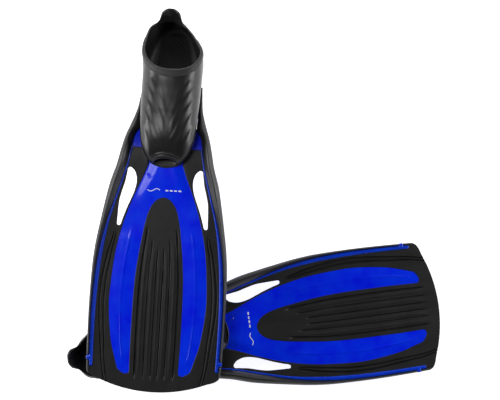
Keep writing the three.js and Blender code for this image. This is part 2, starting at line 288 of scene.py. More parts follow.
# ------------------------------------------------------------------ mesh helpers
def grid_faces(rows, columns, closed=False):
    """Quads of a grid of points kept row by row; closed joins each row's end to its start."""
    r = np.arange(rows - 1)[:, None] * columns
    c = np.arange(columns if closed else columns - 1)[None, :]
    after = (c + 1) % columns
    return np.stack([r + c, r + columns + c, r + columns + after, r + after], axis=-1).reshape(-1, 4)


def weld(points, faces, distance=0.004):
    """Joins points that coincide, and drops the sides and faces that this leaves without a length."""
    _, first, to = np.unique(np.round(points / distance), axis=0, return_index=True, return_inverse=True)
    kept = []
    for face in to.reshape(-1)[faces].tolist():
        ring = [a for a, b in zip(face, face[1:] + face[:1]) if a != b]
        if len(ring) > 2 and len(set(ring)) == len(ring):
            kept.append(ring)
    return points[first], kept, first


def slab(flat, faces, top, bottom):
    """A closed body between two surfaces over the same outline. flat holds u and t of every point."""
    count = len(flat)
    edges = {(a, b) for face in faces for a, b in zip(face, face[1:] + face[:1])}
    walls = [[b, a, a + count, b + count] for a, b in sorted(edges) if (b, a) not in edges]
    under = [[i + count for i in reversed(face)] for face in faces]
    points = np.vstack([bend(flat[:, 0], flat[:, 1], top), bend(flat[:, 0], flat[:, 1], bottom)])
    return points, faces + under + walls


def loft(rings, faces_out=True):
    """A closed body through rings of points, with its two ends filled."""
    rows, columns = rings.shape[:2]
    faces = grid_faces(rows, columns, closed=True).tolist()
    faces.append(list(range(columns)))
    faces.append([(rows - 1) * columns + i for i in reversed(range(columns))])
    if not faces_out:
        faces = [face[::-1] for face in faces]
    return rings.reshape(-1, 3), faces


def join(*bodies):
    """Several bodies as one list of points and one of faces."""
    points, faces, count = [], [], 0
    for body_points, body_faces in bodies:
        points.append(body_points)
        faces += [[i + count for i in face] for face in body_faces]
        count += len(body_points)
    return np.vstack(points), faces


def mirrored(body):
    points, faces = body
    return points * [1, -1, 1], [face[::-1] for face in faces]


class Bands:
    """The top surface of a flat blade piece, as strips between outlines, on both halves of the fin."""

    def __init__(self):
        self.flat, self.heights, self.unders, self.faces, self.count = [], [], [], [], 0

    def add(self, along_s, inner, outer, fractions, relief):
        """relief gives the heights of the top and the bottom at s, |t|, and the distances to both edges."""
        s = along_s[:, None]
        low, high = inner(s), outer(s)
        t = low + (high - low) * fractions
        top, bottom = relief(s + 0 * t, t, t - low, high - t)
        place = follow_tip(s + 0 * t, t)
        for side in (1, -1):
            order = slice(None) if side == 1 else slice(None, None, -1)
            flat = np.stack([place, side * t], axis=-1)[:, order]
            self.flat.append(flat.reshape(-1, 2))
            self.heights.append(top[:, order].reshape(-1))
            self.unders.append(bottom[:, order].reshape(-1))
            self.faces.append(grid_faces(*t.shape) + self.count)
            self.count += t.size

    def body(self):
        flat, faces, first = weld(np.vstack(self.flat), np.vstack(self.faces))
        top, bottom = np.concatenate(self.heights)[first], np.concatenate(self.unders)[first]
        return slab(flat, faces, top, bottom)


# ------------------------------------------------------------------ the blade
def edge_drop(distance, depth=0.95, width=1.5):
    """How far a moulded edge is rounded down near its outline."""
    return depth * np.clip(1 - distance / width, 0, 1) ** 2


# The tongue's grooves: share of the tongue's half-width, where it starts, half-width and depth.
TONGUE_GROOVES = (0.78, 103, 2.4, 2.9), (0.43, 120, 1.7, 2.2), (0.14, 135, 1.6, 2.0)
TONGUE_RIBS = (0.62, 118, 3.4, 0.7), (0.29, 132, 3.0, 0.6), (0.0, 145, 2.2, 0.5)


def tongue_relief(s, t, inside, outside):
    """The black tongue between the lobes, with grooves that fan out towards the tip."""
    width = tongue_edge(s)
    open_edge = smooth(0, 2, lobe_outer(s) - lobe_inner(s))
    level = HALF_THICKNESS + RUBBER_RISE - edge_drop(outside) * open_edge
    relief = 0.0 * s
    for share, start, half, depth in TONGUE_GROOVES:
        run = smooth(start, start + 9, s) * (1 - smooth(338, 350, s))
        belly = half * (0.75 + 0.5 * hump(s - start - 14, 30))
        relief = relief - depth * run * hump(t - share * width, belly)
    for share, start, half, rise in TONGUE_RIBS:
        run = smooth(start, start + 40, s) * (1 - smooth(325, 350, s))
        relief = relief + rise * run * hump(t - share * width, half)
    return level + relief, -level - 0.5 * relief


def panel_relief(open_inner, open_outer):
    """A black panel whose two edges are rounded where something else starts beside them."""

    def relief(s, t, inside, outside):
        drop = edge_drop(inside) * open_inner(s) + edge_drop(outside) * open_outer(s)
        level = HALF_THICKNESS + RUBBER_RISE - drop
        back = edge_drop(s - WING_BACK) * 0.8
        return level - back, -level

    return relief


def channel_relief(s, t, inside, outside):
    """The soft pleat: a bead between two grooves."""
    across = (t - channel_centre(s)) / np.maximum(channel_half(s), 0.1)
    grown = smooth(CHANNEL_START, CHANNEL_START + 10, s)
    level = HALF_THICKNESS + RUBBER_RISE
    pleat = 1.9 * hump(across - 0.56, 0.36) + 1.9 * hump(across + 0.56, 0.36) - 0.4 * hump(across, 0.34)
    return level - grown * pleat, -level + 0.5 * grown * pleat


def lobe_relief(s, t, inside, outside):
    """The blue plate: a crowned neck with a facet along each side, and a fine ridge along each lobe."""
    neck_edge = lobe_side(s) - t
    neck = NECK_RISE * (1 - smooth(10, 78, s)) * smooth(*NECK_FACET, neck_edge)
    crease = 0.45 * hump(s - 19 + 0.006 * t**2, 1.6) * smooth(0, 6, neck_edge)
    middle = 0.47 * tongue_edge(s) + 0.53 * lobe_side(s)
    ridge_run = smooth(100, 125, s) * (1 - smooth(310, 330, s))
    ridge = 0.85 * hump(t - middle, 1.6) * ridge_run
    crown = 0.9 * hump((t - middle) / np.maximum(lobe_side(s) - tongue_edge(s), 1), 0.6) * ridge_run
    level = HALF_THICKNESS + neck + crease + ridge + crown
    return level, -HALF_THICKNESS - 0.4 * (ridge + crown)


def sole_relief(s, t, inside, outside):
    """The blue plate's root: flat under the foot, and rising into the neck's crown."""
    neck = NECK_RISE * smooth(-30, 0, s) * smooth(*NECK_FACET, plate_edge(s) - t)
    return HALF_THICKNESS + neck, -HALF_THICKNESS + 0 * s


def plate_edge(s):
    """Half the width of the blue plate's root under the foot, with its gussets."""
    ends = [plate_half(GUSSET_BACK), rail_inner(GUSSET_WIDE) + PLATE_UNDER_RAIL]
    widening = np.interp(s, [GUSSET_BACK, GUSSET_WIDE], ends)
    gusset = np.where(s < GUSSET_WIDE, widening, rail_inner(s) + PLATE_UNDER_RAIL)
    front = np.where(s <= GUSSET_FRONT, gusset, NECK_HALF_WIDTH)
    return np.where(s <= GUSSET_BACK, plate_half(s), front)


def blue_plate():
    """The stiff plate from under the foot to the ends of the two lobes."""
    bands = Bands()
    middle = lambda s: 0 * s
    inner = lambda s: np.maximum(lobe_inner(s) - PLATE_UNDER_RUBBER, 0)
    outer = lambda s: lobe_outer(s) + PLATE_UNDER_RUBBER
    across = ends_dense(34)
    front = GUSSET_FRONT
    root = [
        np.arange(PLATE_BACK, GUSSET_BACK, 3),
        np.arange(GUSSET_BACK, front, 1.5),
        [front, front + 0.05],
        np.arange(front + 2, 0, 2),
        [0],
    ]
    bands.add(np.unique(np.round(np.concatenate(root), 3)), middle, plate_edge, across, sole_relief)
    bands.add(stations(0, APEX), middle, outer, across, lobe_relief)
    bands.add(stations(APEX, LOBE_END + 0.5), inner, outer, across, lobe_relief)
    return bands.body()


def blade_web():
    """The black rubber: the tongue, and on each side the panels between lobe, vent, pleat and rail."""
    bands = Bands()
    lobe_open = lambda s: smooth(0, 2, lobe_outer(s) - lobe_inner(s))
    vent_open = lambda s: smooth(0, 1, vent_outer(s) - vent_inner(s))
    shut = lambda s: 0 * s
    tongue = stations(APEX, BLADE_LENGTH)
    bands.add(tongue, lambda s: 0 * s, lobe_inner, np.linspace(0, 1, 58), tongue_relief)
    sides = stations(WING_BACK, BLADE_LENGTH)
    bands.add(sides, lobe_outer, vent_inner, ends_dense(12), panel_relief(lobe_open, vent_open))
    bands.add(sides, vent_outer, channel_inner, ends_dense(12), panel_relief(vent_open, shut))
    under_rail = lambda s: rail_inner(s) + WEB_UNDER_RAIL
    bands.add(sides, channel_outer, under_rail, ends_dense(9), panel_relief(shut, shut))
    return bands.body()


def flex_channel(side):
    """The soft insert that lets the blade cup."""
    s = stations(CHANNEL_START, BLADE_LENGTH)[:, None]
    low, high = channel_inner(s) - PLEAT_UNDER_FRAME, channel_outer(s) + PLEAT_UNDER_FRAME
    t = low + (high - low) * np.linspace(0, 1, 29)
    top, bottom = channel_relief(s + 0 * t, t, t - low, high - t)
    flat = np.stack([follow_tip(s + 0 * t, t), t], axis=-1).reshape(-1, 2)
    flat, faces, first = weld(flat, grid_faces(*t.shape))
    body = slab(flat, faces, top.reshape(-1)[first] - 0.02, bottom.reshape(-1)[first] + 0.02)
    return body if side == 1 else mirrored(body)


def cut_corners(sections, times=2):
    """Rounds closed sections by cutting their corners."""
    for _ in range(times):
        after = np.roll(sections, -1, axis=1)
        sections = np.stack([0.75 * sections + 0.25 * after, 0.25 * sections + 0.75 * after], axis=2)
        sections = sections.reshape(sections.shape[0], -1, sections.shape[-1])
    return sections


# The rail's section: share of its width from the inside, and share of its height over or under the blade.
RAIL_SECTION = (
    (0.0, -0.75), (0.0, 0.36), (0.08, 0.50), (0.30, 0.84), (0.50, 1.02), (0.62, 1.0),
    (0.86, 0.80), (1.0, 0.62), (1.03, 0.2), (1.0, -0.78), (0.5, -1.0),
)
BAR_SECTION = (0, 0), (0, 0.55), (0.1, 0.88), (0.3, 1), (0.7, 1), (0.9, 0.88), (1, 0.55), (1, 0)


def rail(side):
    """The side beam, notched where the batten's peg shows through its edge."""
    steady = np.arange(RAIL_START, RAIL_END, 3.5)
    beside_peg = np.arange(PEG_CENTRE - 6, PEG_CENTRE + 7, 0.5)
    near_end = np.arange(330, RAIL_END, 0.8)
    s = np.unique(np.concatenate([steady, beside_peg, near_end, [RAIL_END]]))[:, None]
    across, up = np.array(RAIL_SECTION).T
    t = rail_inner(s) + (rail_outer(s) - rail_inner(s)) * across
    peg_notch = 1 - 0.62 * np.exp(-(((s - PEG_CENTRE) / (PEG_HALF_LENGTH + 1.2)) ** 6))
    v = np.where(up > 0, up * rail_top(s) * peg_notch, up * rail_bottom(s))
    rings = cut_corners(np.stack([s + 0 * t, t, v], axis=-1), 2)
    rings = bend(rings[..., 0], rings[..., 1], rings[..., 2])
    body = loft(rings, faces_out=False)
    return body if side == 1 else mirrored(body)


def rounded_bar(s, inner, outer, bottom, top):
    """A bar with a rounded section between two edges."""
    across, up = np.array(BAR_SECTION).T
    t = inner(s) + (outer(s) - inner(s)) * across
    rings = cut_corners(np.stack([s + 0 * t, t, bottom + (top(s) - bottom) * up], axis=-1), 1)
    return loft(bend(rings[..., 0], rings[..., 1], rings[..., 2]), faces_out=False)


def batten(side):
    """The blue strip beside the rail, with the peg that shows through the rail's edge."""
    steady, near_end = np.arange(BATTEN_START, BATTEN_END, 4), np.arange(322, BATTEN_END, 0.8)
    s = np.unique(np.concatenate([steady, near_end]))[:, None]
    closing = lambda x: rounded(x, -199, 1, BATTEN_END + 0.4, 4)
    outer = lambda x: rail_inner(x) + 0.2 - 0.5 * batten_width(x) * (1 - closing(x))
    inner = lambda x: rail_inner(x) - 0.3 - batten_width(x) * (0.5 + 0.5 * closing(x))
    bar = rounded_bar(s, inner, outer, 1.2, lambda x: BATTEN_TOP - 1.2 * (1 - closing(x)))
    reach = float(rail_outer(PEG_CENTRE)) + 0.6
    t = np.array([reach - 6.4, reach - 6, reach - 4, reach - 1.4, reach - 0.4, reach])[:, None]
    angle = np.linspace(0, 2 * np.pi, 20, endpoint=False)
    size = np.array([1, 1, 1, 1, 0.85, 0.5])[:, None]
    power = lambda x: np.sign(x) * np.abs(x) ** 0.6
    rings = np.stack([PEG_CENTRE + PEG_HALF_LENGTH * size * power(np.cos(angle)), t + 0 * angle,
                      3.1 + 2.0 * size * power(np.sin(angle))], axis=-1)
    body = join(bar, loft(rings))
    return body if side == 1 else mirrored(body)


# ------------------------------------------------------------------ the foot pocket
def toe_setback(u, t, up):
    """How far the upper lip of the toe opening lies behind the lower one."""
    return 7.5 * smooth(-45, TOE_END, u) * np.clip(up * 1.6, 0, 1) * np.clip(1 - (t / 27) ** 2, 0, 1)


def pocket_relief(u, t, up):
    """The pocket's moulded top: ribs in V shapes round a smooth shield, and two ridges on the toe lip."""
    t = np.abs(t)
    fade = smooth(-124, -116, u) * (1 - smooth(-34, -24, u)) * np.clip(up * 2.6 - 0.25, 0, 1)
    shield = 4 + np.maximum(-64 - u, 0) * 0.26
    outside = smooth(shield, shield + 3, t)
    phase = (u + 1.9 * t + 66) / 21.0
    tooth = phase - np.floor(phase)
    rib = smooth(0, 0.3, tooth) * (1 - tooth) ** 1.2 * 1.7
    rim = hump(t - shield, 2.2) * smooth(-118, -108, u) * (1 - smooth(-66, -60, u))
    lip = hump(u + 5, 1.6) + hump(u + 9, 1.6)
    lip = 1.0 * lip * np.clip(1 - (t / 23) ** 4, 0, 1) * np.clip(up * 3, 0, 1)
    return fade * (0.5 * rib * outside + 0.35 * rim) + lip


def shoe_ring(u, angle, grow, floor):
    """One ring of the shoe: a flat bottom and a round top. Gives t, v and how far up each point looks."""
    high = pocket_height(u) + grow
    middle = floor + (high - floor) * 0.35
    power = np.where(np.sin(angle) > 0, 0.9, 0.5)
    across = np.sign(np.cos(angle)) * np.abs(np.cos(angle)) ** power
    up = np.sign(np.sin(angle)) * np.abs(np.sin(angle)) ** power
    rise = np.where(up > 0, high - middle, middle - floor)
    closing = rounded(u, HEEL_END - 0.01, HEEL_ROUND, 999, 1)
    return closing * across * (pocket_width(u) + grow), middle + closing * up * rise, up


def shoe_surface(heel, toe, count, around, grow, floor, relief=None):
    """Rings of the shoe's outside or cavity from the heel to the toe, in u, t and v."""
    x = np.linspace(0, 1, count)[:, None]
    u = heel + (toe - heel) * (0.5 - 0.5 * np.cos(np.pi * x)) * np.ones((1, around))
    angle = np.linspace(0, 2 * np.pi, around, endpoint=False) + 0 * u
    t, v, up = shoe_ring(u, angle, grow, floor)
    if relief:
        height = relief(u, t, up)
        lean = np.stack([np.cos(angle), np.maximum(np.sin(angle), 0)])
        lean /= np.maximum(np.linalg.norm(lean, axis=0), 1e-6)
        t, v = t + height * lean[0], v + height * lean[1]
    return np.stack([u - toe_setback(u, t, up), t, v], axis=-1)


def opening_axes():
    """The ankle opening's plane in u, t and v: its middle, its direction to the toe and its normal."""
    front, back = (np.array([u, 0, v], float) for u, v in (OPENING_FRONT, OPENING_BACK))
    forward = (front - back) / np.linalg.norm(front - back)
    return (front + back) / 2, forward, np.array([-forward[2], 0, forward[0]])


def shoe_outside_tree():
    rings = shoe_surface(HEEL_END, TOE_END, 150, 128, 0, POCKET_FLOOR)
    points, faces = rings.reshape(-1, 3), grid_faces(*rings.shape[:2], closed=True)
    return BVHTree.FromPolygons(points.tolist(), faces.tolist())


OUTSIDE = shoe_outside_tree()


def rim_point(turn, drop=0.0):
    """The pocket's outside at a turn round the opening, drop under its plane, and the way out there."""
    middle, forward, normal = opening_axes()
    out = forward * math.cos(turn) + np.array([0, 1, 0]) * math.sin(turn)
    start = middle - normal * drop
    hit = OUTSIDE.ray_cast(Vector(start), Vector(out))[0]
    return np.array(hit), out


def foot_pocket():
    """The rubber shoe as a shell, cut open at the ankle and at the toe, with a rolled rim."""
    around = 144
    outside = shoe_surface(HEEL_END, TOE_END, 190, around, 0, POCKET_FLOOR, pocket_relief)
    cavity = shoe_surface(CAVITY_BACK, TOE_END, 110, around, -POCKET_WALL, CAVITY_FLOOR)[::-1]
    lip = (outside[-1:] + cavity[:1]) / 2 + [1.0, 0, 0]
    near_out = 0.75 * outside[-1:] + 0.25 * cavity[:1] + [0.8, 0, 0]
    near_in = 0.25 * outside[-1:] + 0.75 * cavity[:1] + [0.8, 0, 0]
    rings = np.concatenate([outside, near_out, lip, near_in, cavity])
    points, faces = loft(rings)
    shell = bmesh.new()
    verts = [shell.verts.new(p) for p in points.tolist()]
    for face in faces:
        shell.faces.new([verts[i] for i in face])
    bmesh.ops.remove_doubles(shell, verts=shell.verts, dist=0.01)
    middle, _, normal = opening_axes()
    everything = shell.verts[:] + shell.edges[:] + shell.faces[:]
    bmesh.ops.bisect_plane(shell, geom=everything, plane_co=middle, plane_no=normal, clear_outer=True)
    rim = [e for e in shell.edges if len(e.link_faces) == 1]
    bmesh.ops.bridge_loops(shell, edges=rim)
    bmesh.ops.recalc_face_normals(shell, faces=shell.faces)
    shell.verts.ensure_lookup_table()
    shell.verts.index_update()
    flat = np.array([v.co for v in shell.verts])
    kept = [[v.index for v in face.verts] for face in shell.faces]
    shell.free()
    return join((bend(*flat.T), kept), rolled_rim())


def rolled_rim():
    """A bead round the ankle opening."""
    normal = opening_axes()[2]
    rings = []
    for turn in np.linspace(0, 2 * np.pi, 180, endpoint=False):
        point, out = rim_point(turn, 0.6)
        centre = point - out * (POCKET_WALL / 2)
        angle = np.linspace(0, 2 * np.pi, 16, endpoint=False)[:, None]
        rings.append(centre + out * 1.9 * np.cos(angle) + normal * (0.2 + 1.5 * np.sin(angle)))
    rings = np.array(rings)
    rows, columns = rings.shape[:2]
    wrapped = np.concatenate([rings, rings[:1]])
    faces = grid_faces(rows + 1, columns, closed=True) % (rows * columns)
    return bend(*wrapped[:rows].reshape(-1, 3).T), faces[:, ::-1].tolist()


# The collar's section: share of its width under the rim, and how far it stands out from the pocket.
COLLAR_SECTION = (
    (1.0, -0.6), (1.02, 0.7), (0.95, 1.5), (0.86, 1.4), (0.76, 1.05), (0.64, 1.25), (0.4, 1.55),
    (0.15, 1.6), (-0.05, 1.4), (-0.22, 0.7), (-0.26, -0.5), (-0.1, -1.4), (0.2, -1.2),
)


def collar():
    """The matte band round the front of the ankle opening, tapered at its two ends."""
    normal = opening_axes()[2]
    rings = []
    for turn in np.linspace(-COLLAR_REACH, COLLAR_REACH, 150):
        taper = float(rounded(abs(turn), -9, 1, COLLAR_REACH, COLLAR_TAPER))
        ring = []
        for share, stand in COLLAR_SECTION:
            drop = share * COLLAR_WIDTH * (0.25 + 0.75 * taper)
            point, out = rim_point(turn, max(drop, 0))
            stand = stand * COLLAR_PROUD / 1.6 if stand > 0 else stand
            ring.append(point + out * (stand * (0.35 + 0.65 * taper) + 0.25) + normal * max(-drop, 0))
        rings.append(ring)
    rings = cut_corners(np.array(rings), 1)
    return loft(bend(rings[..., 0], rings[..., 1], rings[..., 2]), faces_out=False)


tab_half_width = along([0, 0.08, 0.2, 0.35, 0.55, 0.75, 1], [27, 22.5, 19, 17.6, 16.2, 14.6, 12.5])


def heel_tab():
    """The pull tab on the heel's rim: it flares into the rim, and its front carries fine ribs in V shapes."""
    turns = np.pi + np.radians(np.linspace(-75, 75, 61))
    rim = np.array([rim_point(turn, 0)[0] - rim_point(turn, 0)[1] * 1.6 for turn in turns])
    rim = rim[np.argsort(rim[:, 1])]
    x = np.linspace(0, 1, 56)[:, None] ** 0.9
    y = np.sin(np.linspace(-np.pi / 2, np.pi / 2, 61))[None, :]
    t = y * tab_half_width(x) * rounded(x, -9, 1, 1.004, 0.42)
    behind = np.interp(t, rim[:, 1], rim[:, 0]) - np.interp(0, rim[:, 1], rim[:, 0])
    lower = np.interp(t, rim[:, 1], rim[:, 2]) - np.interp(0, rim[:, 1], rim[:, 2])
    base_u, tip_u = TAB_BASE[0] - 1.2, TAB_TIP[0]
    u = base_u + (tip_u - base_u) * x**1.3 + behind * (1 - x) ** 1.4
    v = TAB_BASE[1] - 2.5 + (TAB_TIP[1] + 2.5 - TAB_BASE[1]) * x + lower * (1 - x)
    edge = np.clip((1 - np.abs(y)) * 9, 0, 1) * np.clip((1 - x) * 16, 0, 1)
    thick = TAB_THICKNESS * (0.35 + 0.65 * np.sqrt(edge))
    wave = np.abs(((x * 30.4 + np.abs(t) * 0.55) / 3.4) % 1 - 0.5) * 2
    ribs = 0.9 * smooth(0.3, 0.75, wave) * smooth(0.42, 0.5, x) * edge
    border = 0.5 * hump(np.abs(y) - 0.9, 0.08) * smooth(0.15, 0.3, x)
    front = np.stack([u + thick / 2 + ribs + border, t, v], axis=-1)
    back = np.stack([u - thick / 2, t, v], axis=-1)
    rings = np.concatenate([front, back[:, ::-1]], axis=1)
    rings = bend(rings[..., 0], rings[..., 1], rings[..., 2])
    points, faces, _ = weld(rings.reshape(-1, 3), grid_faces(*rings.shape[:2], closed=True))
    return closed_ends(points, faces)


def closed_ends(points, faces):
    """Fills the boundary loops that are left after welding."""
    mesh = bmesh.new()
    verts = [mesh.verts.new(p) for p in points.tolist()]
    for face in faces:
        mesh.faces.new([verts[i] for i in face])
    open_edges = [e for e in mesh.edges if len(e.link_faces) == 1]
    bmesh.ops.holes_fill(mesh, edges=open_edges, sides=0)
    bmesh.ops.recalc_face_normals(mesh, faces=mesh.faces)
    mesh.verts.index_update()
    result = np.array([v.co for v in mesh.verts]), [[v.index for v in f.verts] for f in mesh.faces]
    mesh.free()
    return result


def footbed():
    """The textured floor inside the pocket."""
    x = np.linspace(0, 1, 150)[:, None]
    y = ends_dense(60)[None, :] * 2 - 1
    u = FOOTBED_BACK + (FOOTBED_FRONT - FOOTBED_BACK) * x + 0 * y
    half = np.interp(u, [-247, -240, -230, -215, -195, -60, -35, -14], [13, 20, 26, 33, 39, 40, 37, 30])
    t = half * y
    level = CAVITY_FLOOR + FOOTBED_RISE
    diamonds = np.abs(np.sin((u + 1.1 * t) * np.pi / 9)) * np.abs(np.sin((u - 1.1 * t) * np.pi / 9))
    field = smooth(-246, -238, u) * (1 - smooth(-40, -25, u)) * (1 - smooth(0.85, 0.97, np.abs(y)))
    texture = 0.7 * diamonds * field
    border = np.clip((1 - np.abs(y)) * 8, 0, 1) * np.clip((1 - x) * 60, 0, 1) * np.clip(x * 30, 0, 1)
    top = level + texture - 0.9 * (1 - border) ** 2
    flat = np.stack([u, t], axis=-1).reshape(-1, 2)
    return slab(flat, grid_faces(*u.shape).tolist(), top.reshape(-1), np.full(len(flat), CAVITY_FLOOR - 1.2))


def toe_lip():
    """The pocket's lower lip, which laps over the back of the neck in an arc and ends in a bead."""
    x = np.linspace(0, 1, 50)[:, None]
    y = ends_dense(60)[None, :] * 2 - 1
    front = LIP_FRONT - LIP_ARC * y**2
    u = LIP_BACK + (front - LIP_BACK) * x
    t = (30 - 4.5 * x) * y
    bead = hump(front - 1.6 - u, 1.6)
    level = CAVITY_FLOOR - 0.2 + 1.2 * bead - 0.9 * (1 - np.clip((front - u) / 1.2, 0, 1)) ** 2
    flat = np.stack([u, t], axis=-1).reshape(-1, 2)
    return slab(flat, grid_faces(*u.shape).tolist(), level.reshape(-1), np.full(len(flat), LIP_UNDERSIDE))


def outsole():
    """The rubber sole, with grip bars across it."""
    x = np.linspace(0, 1, 230)[:, None]
    y = ends_dense(44)[None, :] * 2 - 1
    u = SOLE_BACK + (SOLE_FRONT - SOLE_BACK) * x + 0 * y
    half = pocket_width(u) - 4.0
    close = np.sqrt(np.clip(1 - np.clip((x - 0.985) / 0.015, 0, 1) ** 2, 0, 1)) * 0.12 + 0.88
    t = half * close * y
    bars = ((u + 1.2 * np.abs(t) * 0.35) / 13.0) % 1
    bar = smooth(0.16, 0.3, bars) * (1 - smooth(0.72, 0.86, bars))
    field = bar * smooth(-250, -244, u) * (1 - smooth(-82, -74, u)) * (1 - smooth(0.86, 0.94, np.abs(y)))
    edge = (1 - np.clip((1 - np.abs(y)) * 9, 0, 1)) ** 2
    ends = (1 - np.clip(np.minimum(x, 1 - x) * 40, 0, 1)) ** 2
    base = SOLE_BOTTOM + 2 + 2.5 * smooth(-75, SOLE_FRONT, u)
    bottom = base - 2.0 * field + 2.2 * np.maximum(edge, ends)
    flat = np.stack([u, t], axis=-1).reshape(-1, 2)
    top = np.full(len(flat), SOLE_TOP + 3.0)
    return slab(flat, grid_faces(*u.shape).tolist(), top, bottom.reshape(-1))


# ------------------------------------------------------------------ materials
def shader(name, roughness, coat=0.0, coat_roughness=0.05, specular=0.5, ior=1.5):
    """A new principled material, with the values that are the same all over it."""
    material = bpy.data.materials.new(name)
    material.use_nodes = True
    tree = material.node_tree
    principled = tree.nodes["Principled BSDF"]
    principled.inputs["Roughness"].default_value = roughness
    principled.inputs["Coat Weight"].default_value = coat
    principled.inputs["Coat Roughness"].default_value = coat_roughness
    principled.inputs["Specular IOR Level"].default_value = specular
    principled.inputs["IOR"].default_value = ior
    return material, tree, principled


def place_node(tree):
    """Each point's place in its own fin's frame, in millimetres, which the meshes carry with them."""
    node = tree.nodes.new("ShaderNodeAttribute")
    node.attribute_name = "fin_place"
    return node.outputs["Vector"]


def noise(tree, scale, detail=3.0, stretch=None):
    """A noise pattern; scale is in cycles for each millimetre."""
    place = place_node(tree)
    if stretch:
        mapping = tree.nodes.new("ShaderNodeMapping")
        mapping.inputs["Scale"].default_value = stretch
        tree.links.new(place, mapping.inputs["Vector"])
        place = mapping.outputs["Vector"]
    node = tree.nodes.new("ShaderNodeTexNoise")
    node.inputs["Scale"].default_value = scale
    node.inputs["Detail"].default_value = detail
    tree.links.new(place, node.inputs["Vector"])
    return node.outputs["Fac"]


def remap(tree, value, low, high, to_low, to_high):
    node = tree.nodes.new("ShaderNodeMapRange")
    for name, number in zip(("From Min", "From Max", "To Min", "To Max"), (low, high, to_low, to_high)):
        node.inputs[name].default_value = number
    tree.links.new(value, node.inputs["Value"])
    return node.outputs["Result"]


def two_colours(tree, factor, first, second):
    node = tree.nodes.new("ShaderNodeMix")
    node.data_type = "RGBA"
    node.inputs[6].default_value = (*first, 1)
    node.inputs[7].default_value = (*second, 1)
    tree.links.new(factor, node.inputs[0])
    return node.outputs[2]


def bump(tree, principled, height, distance, strength=1.0, under=None):
    node = tree.nodes.new("ShaderNodeBump")
    node.inputs["Distance"].default_value = distance * MM
    node.inputs["Strength"].default_value = strength
    tree.links.new(height, node.inputs["Height"])
    if under is not None:
        tree.links.new(under, node.inputs["Normal"])
    tree.links.new(node.outputs["Normal"], principled.inputs["Normal"])
    return node.outputs["Normal"]


def moulded(name, dark, light, roughness, grain, grain_depth, coat=0.0, coat_roughness=0.1, specular=0.5):
    """A moulded rubber or plastic: cloudy colour, uneven gloss, soft sink marks and a fine grain."""
    low, high = roughness
    material, tree, principled = shader(name, low, coat, coat_roughness, specular)
    cloud = noise(tree, 0.03, 4)
    tree.links.new(two_colours(tree, remap(tree, cloud, 0.3, 0.7, 0, 1), dark, light),
                   principled.inputs["Base Color"])
    streaks = noise(tree, 0.08, 3, (0.25, 1, 1))
    tree.links.new(remap(tree, streaks, 0.3, 0.7, low, high), principled.inputs["Roughness"])
    soft = bump(tree, principled, noise(tree, 0.04, 1), 0.25)
    bump(tree, principled, noise(tree, grain, 2), grain_depth, 1.0, soft)
    return material


def grey(level):
    """A neutral dark colour, a touch cooler than pure grey."""
    return level, level, level * 1.06


def make_materials():
    satin = {"specular": 0.3}
    matte = {"specular": 0.4}
    shiny = {"coat": 0.3, "coat_roughness": 0.06, "specular": 0.35}
    looks = {  # name, dark and light colour, roughness from and to, grain and its depth
        "pocket": ("glossy_black_rubber", grey(0.010), grey(0.016), (0.29, 0.36), 1.2, 0.01, {}),
        "collar": ("matte_collar_rubber", grey(0.016), grey(0.022), (0.5, 0.6), 1.6, 0.06, matte),
        "tab": ("matte_tab_rubber", grey(0.012), grey(0.017), (0.45, 0.58), 1.6, 0.06, matte),
        "sole": ("sole_rubber", grey(0.012), grey(0.018), (0.55, 0.7), 1.1, 0.1, matte),
        "plate": ("blue_plastic", (0.0, 0.008, 0.84), (0.0, 0.034, 0.88), (0.2, 0.26), 2.2, 0.005, shiny),
        "batten": ("blue_strip_plastic", (0.0, 0.03, 0.52), (0.0, 0.045, 0.64), (0.24, 0.32), 2.2, 0.01, {}),
        "web": ("satin_black_rubber", grey(0.0115), grey(0.0150), (0.38, 0.48), 1.8, 0.04, satin),
        "rail": ("rail_rubber", grey(0.012), grey(0.017), (0.34, 0.46), 1.8, 0.04, {}),
        "channel": ("pleat_rubber", grey(0.008), grey(0.012), (0.38, 0.48), 1.8, 0.04, satin),
        "footbed": ("footbed_rubber", grey(0.003), grey(0.006), (0.5, 0.62), 1.4, 0.1, satin),
        "print": ("white_print", grey(0.74), grey(0.80), (0.3, 0.4), 2.0, 0.01, {}),
    }
    return {key: moulded(*look[:-1], **look[-1]) for key, look in looks.items()}


# ------------------------------------------------------------------ assembly
def fin_matrix(fin):
    """The fin's own frame in the row frame: from millimetres to metres."""
    joints = {joint["name"]: joint for joint in frame["joints"]}
    hinge, tab = joints[f"{fin}_blade_flex"], joints[f"{fin}_tab_bend"]
    t_axis = -Vector(hinge["axis"]).normalized()
    start = np.array([0, 0, HINGE_HEIGHT], float)
    span = bend(TAB_BASE[0], 0, TAB_BASE[1]) - start
    slope = math.atan2(span[2], span[0])
    ahead = Vector(tab["pos_m"]) - Vector(hinge["pos_m"]) - t_axis * (span[1] * MM)
    ahead.normalize()
    square = t_axis.cross(ahead)
    s_axis = (ahead * math.cos(slope) + square * math.sin(slope)).normalized()
    h_axis = s_axis.cross(t_axis)
    turn = Matrix((s_axis, t_axis, h_axis)).transposed()
    origin = Vector(hinge["pos_m"]) - turn @ Vector(start) * MM
    return Matrix.Translation(origin) @ turn.to_4x4() @ Matrix.Scale(MM, 4)


